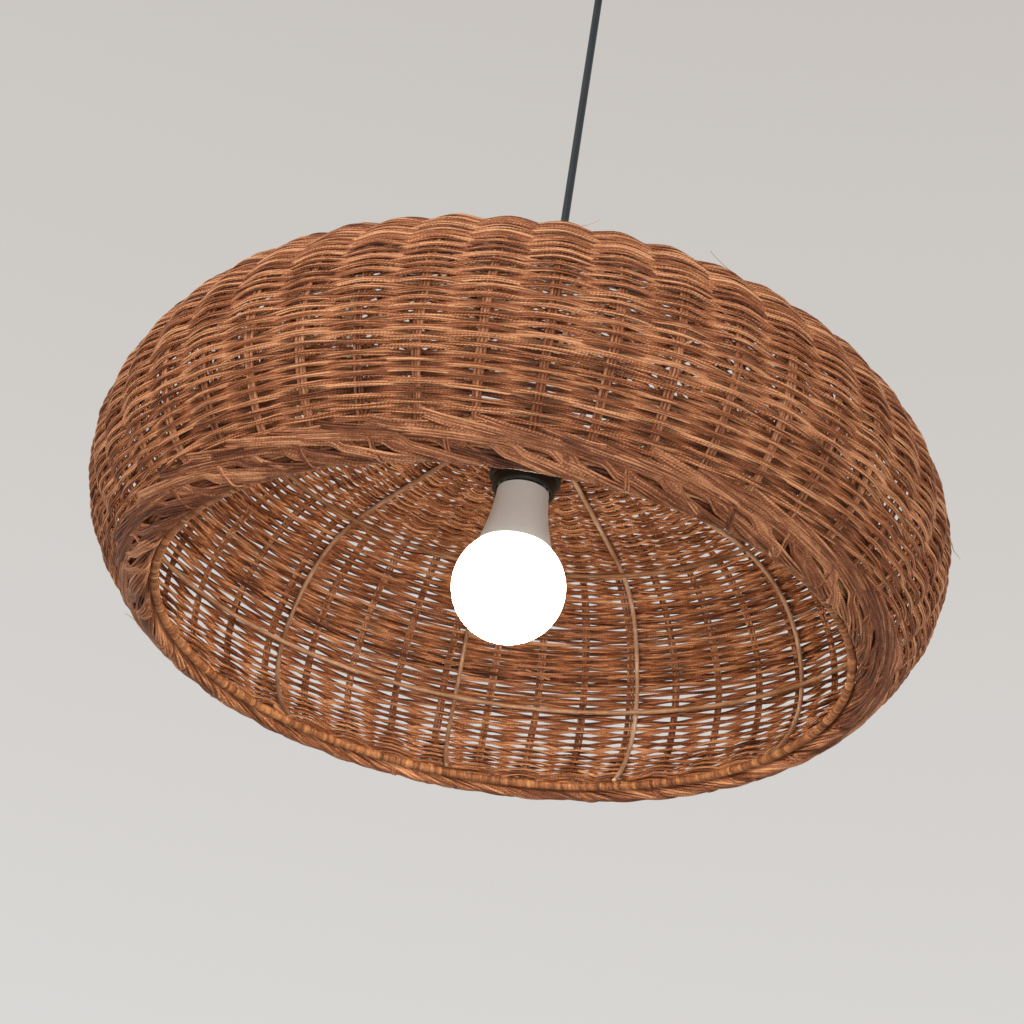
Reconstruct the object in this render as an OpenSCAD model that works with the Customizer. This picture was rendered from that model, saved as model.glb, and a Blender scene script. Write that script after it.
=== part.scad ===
// Pendant ceiling light: a woven rattan bowl shade hung by its lampholder from a
// ceiling canopy on a round cord. The origin is on the ceiling, at the centre of
// the bracket's top face, with +Z up, so the whole lamp lies below zero.

/* [Hanging] */
// Distance from the ceiling down to the plane of the shade's rim ring
drop = 535; // [460:5:900]
// Diameter of the round cord
cord_d = 4.6; // [4.2:0.1:4.8]

/* [Shade] */
// Widest outside diameter of the woven shell
shade_d = 453; // [440:1:470]
// Height of the widest place above the rim ring
belly_h = 62; // [58:1:66]
// Radius of the wrapped ring round the opening, to the middle of its wire
rim_r = 180; // [176:1:183]
// Thickness of the woven wall
wall_t = 6; // [5:0.5:7]
// Number of frame ribs
rib_count = 12; // [12:1:12]
// Diameter of the frame wire
wire_d = 3; // [2.4:0.2:3.2]

/* [Lampholder] */
// Outside diameter of the threaded sleeve that the shade ring screws on
sleeve_d = 39; // [38.6:0.1:39.2]
// Outside diameter of the mouth of the sleeve
mouth_d = 34; // [33:0.5:35]

/* [Bulb] */
// Diameter of the bulb's globe
globe_d = 60; // [56:1:60]
// Height of the globe's centre above the rim ring
globe_h = 33; // [31:1:33]

/* [Canopy] */
// Outside diameter of the ceiling canopy
canopy_d = 105; // [104:0.5:110]
// Depth of the canopy below the ceiling
canopy_depth = 28; // [27:1:30]
// Distance between the two ceiling screw holes
screw_spacing = 60; // [56:1:64]
// Diameter of the ceiling screw holes
screw_hole_d = 4.4; // [4:0.1:5]

/* [Hidden] */
$fn = 64;
rib_names = ["rib_1", "rib_2", "rib_3", "rib_4", "rib_5", "rib_6",
             "rib_7", "rib_8", "rib_9", "rib_10", "rib_11", "rib_12"];

slack = 0.1;                 // running clearance of threads and screws
gap = 0.2;                   // gap between faces that only rest on each other
rim_z = -drop;               // the rim ring's plane

// Ceiling bracket and terminal block
strap_w = 20;
strap_t = 1.6;
ear_x = 46;                  // outside face of each bent-down ear
ear_depth = 18;
ear_w = 14;
thumb_z = -9.5;              // axis of the two thumb screws
thumb_r = 1.93;
block_x = 10;                // the block sits beside the centre of the strap
block_l = 22;
block_w = 17;
block_h = 13;
pole_dx = 5;                 // each pole's distance from the middle of the block
pole_z = -9;
block_screw_r = 1.45;

// Canopy and its cord grip
canopy_r = canopy_d / 2;
canopy_t = 1.5;
canopy_round = 6;
canopy_top = -0.5;
grip_len = 12;
stem_r = 5;
grip_mouth_z = -canopy_depth - grip_len;   // the cord bends here
cord_r = cord_d / 2;
tail_top_z = -20.5;

// Lampholder, heights above the rim plane
mouth_h = 91;                // lower edge of the sleeve
thread_h = 98;               // the sleeve widens to its thread here
shoulder_h = 120;            // the fitter ring is pressed up to here
spigot_h = 126;              // top of the sleeve, inside the cap
terminal_h = 130;            // top of the insert
dome_h = 128;                // the cap's dome starts here
cap_top_h = 150;
clamp_top_h = 159;
sleeve_r = sleeve_d / 2;
cap_r = 23;
cap_t = 2;
shell_r = 13.25;             // smallest inner radius of the screw shell
thread_pitch = 3.6;

// Shade ring, fitter ring and the spider that carries the shade
ring_top_h = shoulder_h - gap - 1.6 - 0.1;
ring_len = 8;
fitter_r = sleeve_r + 0.5;
crown_ring_r = 34.2;

// Outline of the woven shell: a lower and an upper arc that meet at the belly,
// then a nearly flat crown. Angles are measured from the arcs' centres.
shade_r = shade_d / 2;
low_r = 73.8;
low_cx = shade_r - low_r;
low_a = -57;
up_r = 80.5;
up_cx = shade_r - up_r;
crown_a = 86;
crown_hole_r = 37;
rib_in = wall_t + wire_d / 2 + 0.1;        // the ribs lie just inside the wall
hoop_in = rib_in + wire_d;                 // the hoops lie just inside the ribs
upper_hoop_a = 77;
rib_phase = 24.2;                          // first rib, from +Y towards +X
rib_low_a = -52;
wrap_r = 2.8;
border_r = 5.2;
border_cx = rim_r + 8.7;
border_ch = 1.4;

// Bulb, heights above the rim plane
globe_r = globe_d / 2;
diffuser_top_h = globe_h + 22;
collar_top_h = mouth_h - 0.4;
collar_top_r = 14.1;
cap_bottom_h = collar_top_h;
cap_top_thread_h = 113;
tip_h = 117.4;

// Points on the routes of the cord and its cores, in millimetres
live_route = [[1, 0, -20.4], [1.2, -0.4, -18.6], [3.6, -3.6, -16.6], [9, -8, -16], [13.4, -12, -14.2],
              [15, -13.4, -11.4], [15, -11.8, -9.3], [15, -9.4, -9], [15, -6.4, -9], [15, -2.6, -9]];
neutral_route = [[-1, 0, -20.4], [-1.1, -0.6, -18.6], [-1, -4, -16.6], [0.4, -8.4, -16], [3, -12, -14.2],
                 [5, -13.4, -11.4], [5, -11.8, -9.3], [5, -9.4, -9], [5, -6.4, -9], [5, -2.6, -9]];
holder_core_route = [[1, 0, 140.1], [2.4, 0, 139.1], [5, 0, 138.8], [7.6, 0, 139.1], [9.5, 0, 138],
                     [10, 0, 135.6], [10, 0, 132]];
cord_route = [[0, 0, grip_mouth_z - 2.5], [0, 0, grip_mouth_z - 40],
              [0, 0, -140], [0, 0, -200], [0, 0, -260], [0, 0, -320],
              [0, 0, rim_z + clamp_top_h + 0.3]];
core_r = 0.9;

// ---------- functions and helpers ----------

// Points every `step` millimetres or closer along a list of points
function along(p, step) = concat(
    [for (i = [0 : len(p) - 2])
        let (n = max(1, ceil(norm(p[i + 1] - p[i]) / step)))
        for (k = [0 : n - 1]) p[i] + (p[i + 1] - p[i]) * k / n],
    [p[len(p) - 1]]);

// A smooth curve through the points p, with n points to each span
function blend_points(a, b, c, d, t) =
    (2 * b + (c - a) * t + (2 * a - 5 * b + 4 * c - d) * t * t + (3 * b - a - 3 * c + d) * t * t * t) / 2;
function smooth(p, n) = let (last = len(p) - 1) concat(
    [for (i = [0 : last - 1]) for (k = [0 : n - 1])
        blend_points(p[max(i - 1, 0)], p[i], p[i + 1], p[min(i + 2, last)], k / n)],
    [p[last]]);

function unit(v) = v / norm(v);

// Direction of the line at point i
function heading(p, i) =
    unit(p[min(i + 1, len(p) - 1)] - p[max(i - 1, 0)]);

// One ring of points round c, square to d; `ref` is never along d
function tube_ring(c, d, r, sides, ref) =
    let (u = unit(cross(d, ref)), v = cross(d, u))
    [for (k = [0 : sides - 1]) c + r * (cos(360 * k / sides) * u + sin(360 * k / sides) * v)];

// A round tube of `sides` sides swept along points as one closed solid
module tube(p, r, sides = 8, ref = [0, 1, 0]) {
    n = len(p);
    pts = [for (i = [0 : n - 1]) each tube_ring(p[i], heading(p, i), r, sides, ref)];
    walls = [for (i = [0 : n - 2]) for (k = [0 : sides - 1])
        [(i + 1) * sides + k, (i + 1) * sides + (k + 1) % sides, i * sides + (k + 1) % sides, i * sides + k]];
    start = [for (k = [0 : sides - 1]) k];
    finish = [for (k = [0 : sides - 1]) n * sides - 1 - k];
    polyhedron(points = pts, faces = concat([start], walls, [finish]));
}

// Solid or hollow round bar between two heights
module bar(r, z0, z1, hole = 0) {
    difference() {
        translate([0, 0, z0]) cylinder(r = r, h = z1 - z0);
        if (hole > 0) translate([0, 0, z0 - 1]) cylinder(r = hole, h = z1 - z0 + 2);
    }
}

// Bar along X between two places
module bar_x(r, x0, x1) {
    translate([x0, 0, 0]) rotate([0, 90, 0]) cylinder(r = r, h = x1 - x0);
}

// Moves something from heights above the rim plane to its place below the ceiling
module at_rim() {
    translate([0, 0, rim_z]) children();
}

// A thin ring of round section
module hoop(r, h, section_r) {
    translate([0, 0, h]) rotate_extrude($fn = 96) translate([r, 0]) circle(r = section_r, $fn = 24);
}

// Part of a ring of wire, standing in the X-Z plane
module wire_arc(cx, ch, r, a0, a1) {
    translate([cx, 0, ch]) rotate([90, 0, 0]) rotate([0, 0, a0])
        rotate_extrude(angle = a1 - a0, $fn = 96) translate([r, 0]) circle(r = wire_d / 2, $fn = 20);
}

// Rolled rings that stand for a screw thread of crest radius r
module thread_rings(r, h0, h1, depth) {
    for (h = [h0 : thread_pitch : h1])
        translate([0, 0, h]) rotate_extrude() translate([r - depth, 0]) circle(r = depth, $fn = 20);
}

// ---------- ceiling bracket ----------

module mounting_bracket() {
    color("silver") difference() {
        union() {
            translate([-ear_x, -strap_w / 2, -strap_t]) cube([2 * ear_x, strap_w, strap_t]);
            for (s = [-1, 1])
                translate([s > 0 ? ear_x - strap_t : -ear_x, -ear_w / 2, -ear_depth])
                    cube([strap_t, ear_w, ear_depth]);
        }
        for (s = [-1, 1]) {
            translate([s * screw_spacing / 2, 0, -5]) cylinder(d = screw_hole_d, h = 10);
            translate([s * ear_x, 0, thumb_z]) rotate([0, 90, 0])
                cylinder(r = thumb_r + 0.07, h = 10, center = true);
        }
        translate([block_x, 0, -5]) cylinder(r = block_screw_r + 0.05, h = 10);
    }
}

module terminal_block() {
    color("ivory") difference() {
        translate([block_x - block_l / 2, -block_w / 2, -strap_t - block_h]) cube([block_l, block_w, block_h]);
        for (s = [-1, 1]) {
            translate([block_x + s * pole_dx, 0, pole_z]) rotate([90, 0, 0])
                cylinder(r = 2.65, h = block_w + 2, center = true);
            for (t = [-1, 1])
                translate([block_x + s * pole_dx, t * 4.5, -20]) cylinder(r = 1.9, h = 20 + pole_z);
        }
        translate([block_x, 0, -20]) cylinder(r = block_screw_r + 0.05, h = 30);
    }
}

module terminal_sleeves() {
    color("gold") for (s = [-1, 1])
        translate([block_x + s * pole_dx, 0, pole_z]) difference() {
            rotate([90, 0, 0]) cylinder(r = 2.6, h = 15, center = true);
            rotate([90, 0, 0]) cylinder(r = 1.5, h = 17, center = true);
            for (t = [-1, 1]) translate([0, t * 4.5, -5]) cylinder(r = 1.35, h = 5);
        }
}

module terminal_screws() {
    color("silver") for (s = [-1, 1]) for (t = [-1, 1])
        translate([block_x + s * pole_dx, t * 4.5, 0]) difference() {
            bar(1.3, pole_z - 4.6, pole_z - 1);
            translate([-2, -0.25, pole_z - 5]) cube([4, 0.5, 1]);
        }
}

module block_screw() {
    color("silver") translate([block_x, 0, 0]) difference() {
        union() {
            bar(block_screw_r, -strap_t - block_h - 1, -0.2);
            bar(1.9, -strap_t - block_h - 1.6, -strap_t - block_h);
        }
        translate([-3, -0.3, -strap_t - block_h - 2]) cube([6, 0.6, 1]);
    }
}

// A knurled screw along X; dir is the side of the lamp it is on
module thumb_screw(dir) {
    head_in = canopy_r + 0.5;
    color("black") scale([dir, 1, 1]) translate([0, 0, thumb_z]) {
        bar_x(thumb_r, ear_x - 6, head_in + 0.5);
        difference() {
            translate([head_in, 0, 0]) rotate([0, 90, 0]) cylinder(r = 5.2, h = 6);
            for (k = [0 : 17]) rotate([20 * k, 0, 0])
                translate([head_in + 1, 0, 5.3]) bar_x(0.45, 0, 6);
            translate([head_in + 5, -6, -0.5]) cube([2, 12, 1]);
        }
    }
}

module thumb_screw_left() { mirror([1, 0, 0]) thumb_screw(1); }
module thumb_screw_right() { thumb_screw(1); }

// ---------- canopy and cord grip ----------

// Half section of the canopy cup: a square with one rounded corner
module cup_section(r, depth, corner) {
    translate([0, -depth + corner]) square([r, depth - corner]);
    translate([0, -depth]) square([r - corner, corner + 0.01]);
    translate([r - corner, -depth + corner]) circle(r = corner, $fn = 48);
}

module canopy() {
    color("black") difference() {
        rotate_extrude($fn = 128) difference() {
            intersection() {
                cup_section(canopy_r, canopy_depth, canopy_round);
                translate([0, -canopy_depth - 1]) square([canopy_r + 1, canopy_depth + 1 + canopy_top]);
            }
            translate([0, 1]) cup_section(canopy_r - canopy_t, canopy_depth + 1 - canopy_t, canopy_round - canopy_t);
        }
        translate([0, 0, -canopy_depth - 1]) cylinder(r = stem_r + 0.05, h = 5);
        for (s = [-1, 1]) {
            translate([s * canopy_r, 0, thumb_z]) rotate([0, 90, 0])
                cylinder(r = 2.4, h = 12, center = true);
            translate([s * canopy_r - 6, -2.4, thumb_z]) cube([12, 4.8, 12]);
        }
    }
}

// Tapered nylon strain relief with a threaded stem through the canopy
module cord_grip() {
    color("black") difference() {
        union() {
            bar(stem_r, -canopy_depth - 0.5, -canopy_depth + 6.5);
            bar(8, -canopy_depth - 3.2, -canopy_depth);
            translate([0, 0, grip_mouth_z]) cylinder(r1 = 4.2, r2 = 6.4, h = grip_len - 3.1);
        }
        translate([0, 0, grip_mouth_z - 1]) cylinder(r = cord_r + 0.35, h = 4.6);
        translate([0, 0, grip_mouth_z + 3]) cylinder(r = cord_r, h = 30);
        translate([0, 0, -canopy_depth - 6]) bar_x(1.35, 0, 8);
    }
}

module grip_locknut() {
    color("silver") difference() {
        translate([0, 0, -canopy_depth + canopy_t]) cylinder(r = 8, h = 3, $fn = 6);
        translate([0, 0, -canopy_depth]) cylinder(r = stem_r, h = 10);
    }
}

module grip_screw() {
    color("black") translate([0, 0, -canopy_depth - 6]) difference() {
        bar_x(1.3, cord_r + 0.05, 6.2);
        translate([5.5, -2, -0.25]) cube([2, 4, 0.5]);
    }
}

module cord_tail() {
    color("black") tube(along([[0, 0, grip_mouth_z + 2.5], [0, 0, tail_top_z]], 12), cord_r, 10);
}

module live_core_top() {
    color("saddlebrown") tube(smooth(live_route, 2), core_r, 8, [1, 0, 0]);
}

module neutral_core_top() {
    color("royalblue") tube(smooth(neutral_route, 2), core_r, 8, [1, 0, 0]);
}

// ---------- cord ----------

// The short length of cord that bends in the mouth of the grip
module cord_bend() {
    color("black") translate([0, 0, grip_mouth_z]) sphere(r = cord_r - 0.1, $fn = 32);
}

module cord() {
    color("black") tube(along(cord_route, 12), cord_r, 10);
}

// ---------- lampholder ----------

module holder_cap() {
    inner = cap_r - cap_t;
    color("black") at_rim() difference() {
        union() {
            bar(cap_r, shoulder_h, dome_h);
            intersection() {
                translate([0, 0, dome_h]) cylinder(r = cap_r, h = cap_top_h - dome_h);
                translate([0, 0, dome_h - 6]) sphere(r = 28.2, $fn = 96);
            }
        }
        translate([0, 0, shoulder_h - 1]) cylinder(r = inner, h = dome_h - shoulder_h + 1);
        intersection() {
            translate([0, 0, dome_h - 0.01]) cylinder(r = inner, h = 20);
            translate([0, 0, dome_h - 6]) sphere(r = 28.2 - cap_t, $fn = 96);
        }
        translate([0, 0, 140]) cylinder(r = stem_r + 0.05, h = 20);
    }
}

module holder_cord_clamp() {
    color("black") at_rim() difference() {
        union() {
            bar(stem_r, 144.5, cap_top_h + 0.5);
            bar(7.2, cap_top_h, 153);
            translate([0, 0, 152.9]) cylinder(r1 = 6, r2 = 4.4, h = clamp_top_h - 152.9);
        }
        translate([0, 0, 140]) cylinder(r = cord_r, h = 30);
        translate([0, 0, 155.5]) bar_x(1.35, 0, 8);
    }
}

module clamp_screw() {
    color("black") at_rim() translate([0, 0, 155.5]) difference() {
        bar_x(1.3, cord_r + 0.05, 6.2);
        translate([5.5, -2, -0.25]) cube([2, 4, 0.5]);
    }
}

module holder_insert() {
    color("white") at_rim() difference() {
        union() {
            bar(16.6, 117, spigot_h);
            bar(20.7, spigot_h, terminal_h);
        }
        translate([0, 0, 116]) cylinder(r = 8, h = 5.4);
    }
}

module holder_terminals() {
    color("gold") at_rim() for (s = [-1, 1]) difference() {
        translate([s * 10 - 3, -3.5, terminal_h]) cube([6, 7, 7]);
        translate([s * 10, 0, terminal_h + 1.5]) cylinder(r = 1.1, h = 10);
        translate([s * 10, 0, terminal_h + 3.5]) rotate([90, 0, 0]) cylinder(r = 1.4, h = 5);
    }
}

module holder_screws() {
    color("silver") at_rim() for (s = [-1, 1])
        translate([s * 10, 0, terminal_h + 3.5]) rotate([90, 0, 0]) difference() {
            union() {
                translate([0, 0, 1.2]) cylinder(r = 1.35, h = 3);
                translate([0, 0, 3.6]) cylinder(r = 2.2, h = 1.6);
            }
            translate([-3, -0.25, 4.6]) cube([6, 0.5, 2]);
        }
}

// Brass shell that the bulb's cap screws into
module screw_shell() {
    color("gold") at_rim() difference() {
        union() {
            bar(shell_r + 0.5, 94, 117);
            for (h = [96 : thread_pitch : 114])
                translate([0, 0, h]) rotate_extrude() translate([shell_r - 0.2, 0]) circle(r = 1.3, $fn = 20);
        }
        translate([0, 0, 93]) cylinder(r = shell_r, h = 25);
    }
}

module holder_sleeve() {
    color("black") at_rim() difference() {
        union() {
            bar(mouth_d / 2, mouth_h + 0.8, thread_h);
            translate([0, 0, mouth_h]) cylinder(r1 = mouth_d / 2 - 0.6, r2 = mouth_d / 2, h = 0.81);
            bar(sleeve_r - 0.7, thread_h, shoulder_h);
            thread_rings(sleeve_r, thread_h + 1.4, shoulder_h - 2, 0.9);
            bar(20.9, shoulder_h, spigot_h);
        }
        translate([0, 0, mouth_h - 1]) cylinder(r = 14.9, h = 5);
        translate([0, 0, mouth_h + 2]) cylinder(r = 17 - 1.3, h = 6);
        translate([0, 0, thread_h - 0.01]) cylinder(r = 16.9, h = 40);
    }
}

module cord_end() {
    color("black") at_rim() tube(along([[0, 0, 141], [0, 0, clamp_top_h]], 12), cord_r, 10);
}

module live_core_holder() {
    color("saddlebrown") at_rim() tube(smooth(holder_core_route, 2), core_r, 8);
}

module neutral_core_holder() {
    mirrored = [for (p = smooth(holder_core_route, 2)) [-p[0], p[1], p[2]]];
    color("royalblue") at_rim() tube(mirrored, core_r, 8);
}

// Sprung brass tongue that presses on the tip of the bulb
module centre_contact() {
    color("gold") at_rim() union() {
        translate([-2.5, -5.5, 118.2]) cube([5, 9, 0.6]);
        bar(1.6, 117.5, 118.3);
    }
}

// ---------- shade ring and shade frame ----------

module shade_ring() {
    color("black") at_rim() difference() {
        union() {
            bar(22.2, ring_top_h - ring_len, ring_top_h - 3);
            bar(24.5, ring_top_h - 3.01, ring_top_h);
            for (k = [0 : 15]) rotate([0, 0, 22.5 * k])
                translate([22.1, -0.9, ring_top_h - ring_len]) cube([1.4, 1.8, ring_len - 3]);
        }
        translate([0, 0, ring_top_h - ring_len - 1]) cylinder(r = sleeve_r + slack, h = ring_len + 2);
    }
}

module fitter_ring() {
    color("black") at_rim() bar(29, shoulder_h - gap - 1.6, shoulder_h - gap, fitter_r);
}

// Three rods from the fitter ring up to the crown ring
module spider_arms() {
    low = shoulder_h - gap + 1.5;
    high = crown_h(crown_ring_r, rib_in) - 1.55;
    bend = [[24.8, 0, low], [28.5, 0, low], [31.5, 0, low + 1.6], [33.4, 0, low + 4.4], [34.2, 0, low + 8],
            [34.2, 0, (low + 8 + high) / 2], [34.2, 0, high]];
    color("black") at_rim() for (a = [0, 120, 240]) rotate([0, 0, a + 17]) tube(smooth(bend, 2), 1.45, 10);
}

// Height of the crown's outline at radius r, moved `inward` into the shade
function crown_start(inward, back = 0) =
    [up_cx + (up_r - inward) * cos(crown_a - back), belly_h + (up_r - inward) * sin(crown_a - back)];
function crown_h(r, inward) =
    crown_start(inward)[1] + (crown_start(inward)[0] - r) * cos(crown_a) / sin(crown_a);

module crown_ring() {
    color("tan") at_rim() hoop(crown_ring_r, crown_h(crown_ring_r, rib_in), wire_d / 2);
}

// One rib: two arcs that meet at the belly, then a straight run to the crown ring
module rib(k) {
    s = crown_start(rib_in);
    inner_r = crown_ring_r + wire_d / 2 + 0.1;
    color("tan") at_rim() rotate([0, 0, 90 - rib_phase - 360 * k / rib_count]) union() {
        wire_arc(low_cx, belly_h, low_r - rib_in, rib_low_a, 0);
        wire_arc(up_cx, belly_h, up_r - rib_in, 0, crown_a);
        translate([s[0], 0, s[1]]) rotate([0, -crown_a, 0])
            cylinder(r = wire_d / 2, h = (s[0] - inner_r) / sin(crown_a), $fn = 20);
    }
}

module upper_hoop() {
    color("tan") at_rim()
        hoop(up_cx + (up_r - hoop_in) * cos(upper_hoop_a), belly_h + (up_r - hoop_in) * sin(upper_hoop_a), wire_d / 2);
}

module lower_hoop() {
    color("tan") at_rim() hoop(shade_r - hoop_in, belly_h + 3, wire_d / 2);
}

module rim_ring() {
    color("tan") at_rim() hoop(rim_r, 0, wire_d / 2);
}

// Wrapping of split cane round the rim wire
module rim_wrap() {
    color("sienna") at_rim() rotate_extrude($fn = 96) translate([rim_r, 0]) difference() {
        circle(r = wrap_r, $fn = 32);
        circle(r = wire_d / 2, $fn = 24);
    }
}

// Rolled and plaited border between the wall and the wrapped ring
module rim_border() {
    color("saddlebrown") at_rim() hoop(border_cx, border_ch, border_r);
}

// Flat outline of a ring sector between two angles
module sector(cx, r_out, r_in, a0, a1) {
    translate([cx, belly_h]) intersection() {
        difference() {
            circle(r = r_out, $fn = 180);
            circle(r = r_in, $fn = 180);
        }
        polygon([[0, 0], 140 * [cos(a0), sin(a0)], 198 * [cos((a0 + a1) / 2), sin((a0 + a1) / 2)],
                 140 * [cos(a1), sin(a1)]]);
    }
}

module woven_shell() {
    flat_top = [crown_start(0, 1), crown_start(0), [crown_hole_r, crown_h(crown_hole_r, 0)]];
    flat_underside = [[crown_hole_r, crown_h(crown_hole_r, wall_t)], crown_start(wall_t), crown_start(wall_t, 1)];
    color("peru") at_rim() rotate_extrude($fn = 96) difference() {
        union() {
            sector(low_cx, low_r, low_r - wall_t, low_a, 0.01);
            sector(up_cx, up_r, up_r - wall_t, 0, crown_a);
            polygon(concat(flat_top, flat_underside));
        }
        translate([border_cx, border_ch]) circle(r = border_r, $fn = 24);
    }
}

// ---------- bulb ----------

// Radius of the collar at height h: wide at the globe, then narrowing to the cap
function collar_r(h) =
    let (u = (h - diffuser_top_h) / (collar_top_h - diffuser_top_h))
    collar_top_r + 6.6 * pow(1 - u, 1.7);

module bulb_diffuser() {
    color("ivory") at_rim() intersection() {
        translate([0, 0, globe_h]) difference() {
            sphere(r = globe_r, $fn = 96);
            sphere(r = globe_r - 1.2, $fn = 96);
        }
        translate([0, 0, -10]) cylinder(r = 40, h = diffuser_top_h + 10);
    }
}

module bulb_collar() {
    steps = 12;
    hs = [for (i = [0 : steps]) diffuser_top_h + (collar_top_h - diffuser_top_h) * i / steps];
    color("whitesmoke") at_rim() rotate_extrude($fn = 96) polygon(concat(
        [for (h = hs) [collar_r(h), h]],
        [for (i = [0 : steps]) [collar_r(hs[steps - i]) - 1, hs[steps - i]]]));
}

// Aluminium cup that carries the board and takes its heat to the collar
module heat_spreader() {
    color("silver") at_rim() rotate_extrude() polygon([
        [0, diffuser_top_h + 0.1], [19.4, diffuser_top_h + 0.1], [17, diffuser_top_h + 5],
        [16.2, diffuser_top_h + 5], [18.1, diffuser_top_h + 1.1], [0, diffuser_top_h + 1.1]]);
}

module bulb_cap() {
    color("silver") at_rim() difference() {
        union() {
            bar(12.6, cap_bottom_h, cap_top_thread_h);
            for (h = [cap_bottom_h + 3.4 : thread_pitch : cap_top_thread_h - 2])
                translate([0, 0, h]) rotate_extrude() translate([shell_r - slack - 1.2, 0]) circle(r = 1.2, $fn = 20);
        }
        translate([0, 0, cap_bottom_h - 1]) cylinder(r = 11.9, h = cap_top_thread_h - cap_bottom_h + 2);
    }
}

module cap_insulator() {
    color("black") at_rim() difference() {
        translate([0, 0, cap_top_thread_h]) cylinder(r1 = 12.4, r2 = 6, h = 3.2);
        translate([0, 0, cap_top_thread_h - 1]) cylinder(r = 2.5, h = 6);
    }
}

module cap_contact() {
    color("silver") at_rim() union() {
        bar(2.5, cap_top_thread_h, cap_top_thread_h + 3.2);
        translate([0, 0, cap_top_thread_h + 3.2]) cylinder(r1 = 5, r2 = 2.6, h = tip_h - cap_top_thread_h - 3.2);
    }
}

module led_board() {
    color("white") at_rim() bar(17.5, diffuser_top_h - 1.2, diffuser_top_h);
}

module led_chips() {
    color("khaki") at_rim() for (k = [0 : 11]) rotate([0, 0, 30 * k])
        translate([11.6, -1.4, diffuser_top_h - 2]) cube([2.8, 2.8, 0.8]);
}

module driver_board() {
    color("green") at_rim() translate([-9.5, -0.8, diffuser_top_h + 2]) cube([19, 1.6, 34]);
}

module driver_parts() {
    color("dimgray") at_rim() {
        translate([0, 0.8, 70]) rotate([-90, 0, 0]) cylinder(r = 4, h = 7);
        translate([-7, 0.8, 80]) cube([6, 5, 6]);
        translate([1.5, 0.8, 80]) cube([6, 4, 8]);
        translate([-5, -5.8, 66]) cube([10, 5, 8]);
    }
}

mounting_bracket();
terminal_block();
terminal_sleeves();
terminal_screws();
block_screw();
thumb_screw_left();
thumb_screw_right();
canopy();
cord_grip();
grip_locknut();
grip_screw();
cord_tail();
live_core_top();
neutral_core_top();
cord_bend();
cord();
holder_cap();
holder_cord_clamp();
clamp_screw();
holder_insert();
holder_terminals();
holder_screws();
screw_shell();
holder_sleeve();
cord_end();
live_core_holder();
neutral_core_holder();
centre_contact();
shade_ring();
fitter_ring();
spider_arms();
crown_ring();
for (k = [0 : rib_count - 1])
    rib(k);
upper_hoop();
lower_hoop();
rim_ring();
rim_wrap();
rim_border();
woven_shell();
bulb_diffuser();
bulb_collar();
heat_spreader();
bulb_cap();
cap_insulator();
cap_contact();
led_board();
led_chips();
driver_board();
driver_parts();
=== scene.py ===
"""Woven rattan pendant light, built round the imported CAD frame. Metres, +Z up."""
import math

import bpy
import numpy as np
from mathutils import Euler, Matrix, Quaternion, Vector


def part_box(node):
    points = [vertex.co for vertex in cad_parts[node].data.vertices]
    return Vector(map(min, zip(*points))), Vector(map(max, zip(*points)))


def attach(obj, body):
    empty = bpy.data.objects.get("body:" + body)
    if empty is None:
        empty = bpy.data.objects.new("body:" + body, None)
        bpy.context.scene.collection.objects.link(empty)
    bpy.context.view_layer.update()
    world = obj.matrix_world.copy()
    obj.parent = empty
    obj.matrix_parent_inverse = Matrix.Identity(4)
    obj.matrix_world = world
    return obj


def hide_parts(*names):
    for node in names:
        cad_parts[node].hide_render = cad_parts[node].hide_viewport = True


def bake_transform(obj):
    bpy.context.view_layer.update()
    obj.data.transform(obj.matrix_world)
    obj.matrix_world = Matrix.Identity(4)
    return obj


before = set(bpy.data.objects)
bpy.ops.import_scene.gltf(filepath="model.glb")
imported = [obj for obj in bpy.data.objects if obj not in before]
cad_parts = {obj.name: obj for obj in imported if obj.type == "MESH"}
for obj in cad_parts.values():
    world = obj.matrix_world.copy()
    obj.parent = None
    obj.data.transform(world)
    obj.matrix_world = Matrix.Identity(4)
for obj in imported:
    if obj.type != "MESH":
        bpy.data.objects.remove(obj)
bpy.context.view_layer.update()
rng = np.random.RandomState(160)                  # every irregularity comes from this one seed
TAU = 2 * math.pi
MM = 0.001

# ---------- camera ----------

RIM_LO, RIM_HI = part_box("rim_ring")
RIM_Z = (RIM_LO.z + RIM_HI.z) / 2
LENS, SENSOR = 77.34, 36.0
CAM_PITCH, CAM_ROLL = math.radians(29.69), math.radians(8.84)
CAM_OFFSET = (-0.00425, -1.01944, -0.50306)      # from the centre of the rim ring

cam_data = bpy.data.cameras.new("camera")
cam_data.lens, cam_data.sensor_width = LENS, SENSOR
cam = bpy.data.objects.new("camera", cam_data)
bpy.context.collection.objects.link(cam)
cam.location = (CAM_OFFSET[0], CAM_OFFSET[1], RIM_Z + CAM_OFFSET[2])
cam.rotation_mode = "QUATERNION"
cam_tilt = Euler((math.pi / 2 + CAM_PITCH, 0, 0)).to_quaternion()
cam.rotation_quaternion = cam_tilt @ Quaternion((0, 0, 1), CAM_ROLL)
bpy.context.scene.camera = cam

# ---------- node helpers ----------


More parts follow.
